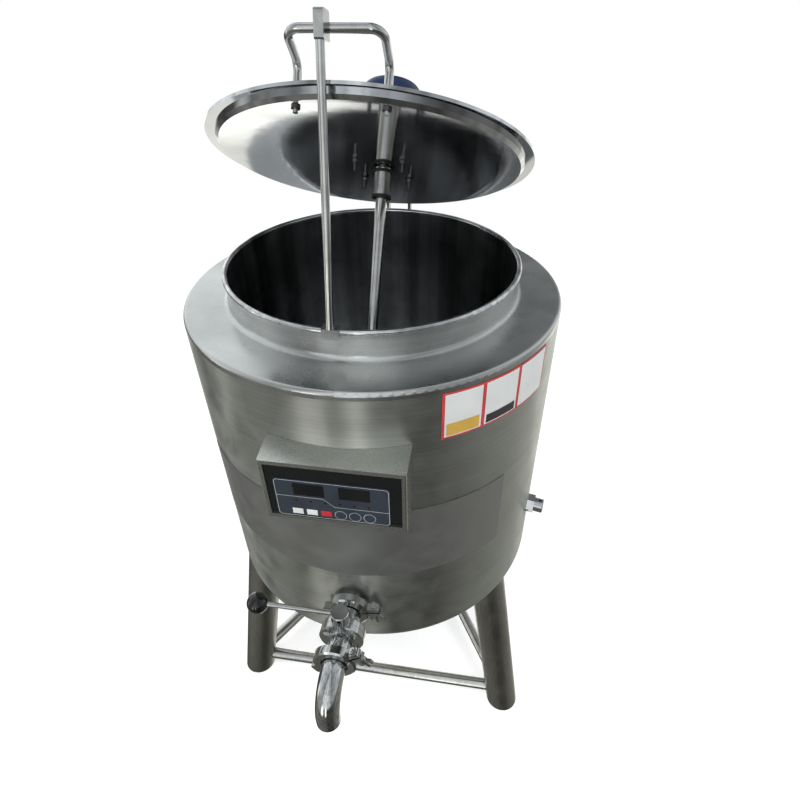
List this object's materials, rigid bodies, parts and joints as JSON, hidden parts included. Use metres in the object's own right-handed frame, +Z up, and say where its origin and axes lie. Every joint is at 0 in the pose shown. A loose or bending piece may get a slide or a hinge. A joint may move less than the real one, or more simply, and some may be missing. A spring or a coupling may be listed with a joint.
{
  "type": "ice cream pasteurizer",
  "caption": "Small ice cream mix pasteurizer: a jacketed round tank on splayed legs, with a propped-open lid, lid-mounted agitator, control box and butterfly outlet valve.",
  "frame": {"origin": "on the floor, under the centre of the whole machine's bounding box", "axes": "+Z up, -Y the front with the control box and the outlet, +X to the right as seen by someone facing the front"},
  "size_m": [0.6586, 0.8611, 1.3329],
  "materials": {
    "tank_steel": "satin",
    "jacket_steel": "satin",
    "shoulder_steel": "satin",
    "leg_steel": "satin",
    "polished_steel": "polished",
    "fitting_steel": "satin",
    "rod_steel": "polished",
    "insulation_foam": "matte",
    "heater_sheath": "satin",
    "box_steel": "satin",
    "fascia_black": "matte",
    "panel_sheet": "satin",
    "display_glass": "gloss",
    "light_plastic": "gloss",
    "board_resin": "matte",
    "gland_plastic": "matte",
    "key_white": "satin",
    "key_red": "satin",
    "key_grey": "satin",
    "motor_paint": "satin",
    "gear_paint": "satin",
    "seal_rubber": "matte",
    "knob_plastic": "gloss"
  },
  "bodies": {
    "machine": {"body_bolts": "fitting_steel", "bottom_shell": "jacket_steel", "brace_front": "fitting_steel", "brace_left": "fitting_steel", "brace_right": "fitting_steel", "cable_gland": "gland_plastic", "clamp_wing_nuts": "fitting_steel", "control_box": "box_steel", "control_panel": "panel_sheet", "controller_board": "board_resin", "display_windows": "display_glass", "fascia_plate": "fascia_black", "foot_plates": "leg_steel", "front_clamp": "fitting_steel", "heater_element": "heater_sheath", "hinge_bracket": "fitting_steel", "hinge_pin": "fitting_steel", "indicator_lights": "light_plastic", "inner_tank": "tank_steel", "insulation": "insulation_foam", "leg_left": "leg_steel", "leg_rear": "leg_steel", "leg_right": "leg_steel", "outer_jacket": "jacket_steel", "outlet_elbow": "fitting_steel", "outlet_spud": "fitting_steel", "port_cap": "fitting_steel", "port_nut_ring": "fitting_steel", "rear_clamp": "fitting_steel", "shoulder_ring": "shoulder_steel", "stem_boss": "fitting_steel", "valve_body": "fitting_steel", "valve_gaskets": "seal_rubber", "valve_seat": "seal_rubber", "water_jacket": "tank_steel"},
    "lid": {"lid_shell": "polished_steel", "lid_handle": "rod_steel", "hinge_leaf": "fitting_steel", "motor_plate": "fitting_steel", "lid_fasteners": "fitting_steel", "gearbox": "gear_paint", "motor_body": "motor_paint", "motor_cap": "motor_paint", "seal_sleeve": "fitting_steel", "sleeve_seals": "seal_rubber"},
    "prop": {"prop_head": "rod_steel", "prop_rod": "rod_steel", "prop_clip": "rod_steel"},
    "agitator": {"agitator_shaft": "rod_steel", "impeller": "fitting_steel"},
    "valve_handle": {"valve_disc": "fitting_steel", "valve_hub": "fitting_steel", "valve_lever": "rod_steel", "lever_knob": "knob_plastic"},
    "start_key_cap": {"start_key": "key_white"},
    "stir_key_cap": {"stir_key": "key_white"},
    "stop_key_cap": {"stop_key": "key_red"},
    "set_key_cap": {"set_key": "key_grey"},
    "minus_key_cap": {"minus_key": "key_grey"},
    "plus_key_cap": {"plus_key": "key_grey"}
  },
  "joints": [
    {"name": "lid_hinge", "type": "hinge", "parent": "machine", "child": "lid", "pos_m": [0, 0.311, 1.017], "axis": [-1, 0, 0], "range_deg": [-32.4, 0]},
    {"name": "prop_swing", "type": "hinge", "parent": "lid", "child": "prop", "pos_m": [-0.007, -0.09585, 1.31428], "axis": [-1, 0, 0], "range_deg": [0, 248]},
    {"name": "agitator_spin", "type": "hinge", "parent": "lid", "child": "agitator", "pos_m": [0, 0.15287, 1.09722], "axis": [0, 0.5358, 0.8443], "continuous": true},
    {"name": "valve_turn", "type": "hinge", "parent": "machine", "child": "valve_handle", "pos_m": [0.003, -0.3065, 0.518], "axis": [0, 0, 1], "range_deg": [0, 90]},
    {"name": "start_key_press", "type": "slide", "parent": "machine", "child": "start_key_cap", "axis": [0, 1, 0], "range_m": [0, 0.0006], "stiffness_N_per_m": 2500, "springref_m": -0.0002},
    {"name": "stir_key_press", "type": "slide", "parent": "machine", "child": "stir_key_cap", "axis": [0, 1, 0], "range_m": [0, 0.0006], "stiffness_N_per_m": 2500, "springref_m": -0.0002},
    {"name": "stop_key_press", "type": "slide", "parent": "machine", "child": "stop_key_cap", "axis": [0, 1, 0], "range_m": [0, 0.0006], "stiffness_N_per_m": 2500, "springref_m": -0.0002},
    {"name": "set_key_press", "type": "slide", "parent": "machine", "child": "set_key_cap", "axis": [0, 1, 0], "range_m": [0, 0.0006], "stiffness_N_per_m": 2500, "springref_m": -0.0002},
    {"name": "minus_key_press", "type": "slide", "parent": "machine", "child": "minus_key_cap", "axis": [0, 1, 0], "range_m": [0, 0.0006], "stiffness_N_per_m": 2500, "springref_m": -0.0002},
    {"name": "plus_key_press", "type": "slide", "parent": "machine", "child": "plus_key_cap", "axis": [0, 1, 0], "range_m": [0, 0.0006], "stiffness_N_per_m": 2500, "springref_m": -0.0002}
  ],
  "couplings": [
    {"joint": "prop_swing", "follows": "lid_hinge", "ratio": -7.6}
  ]
}
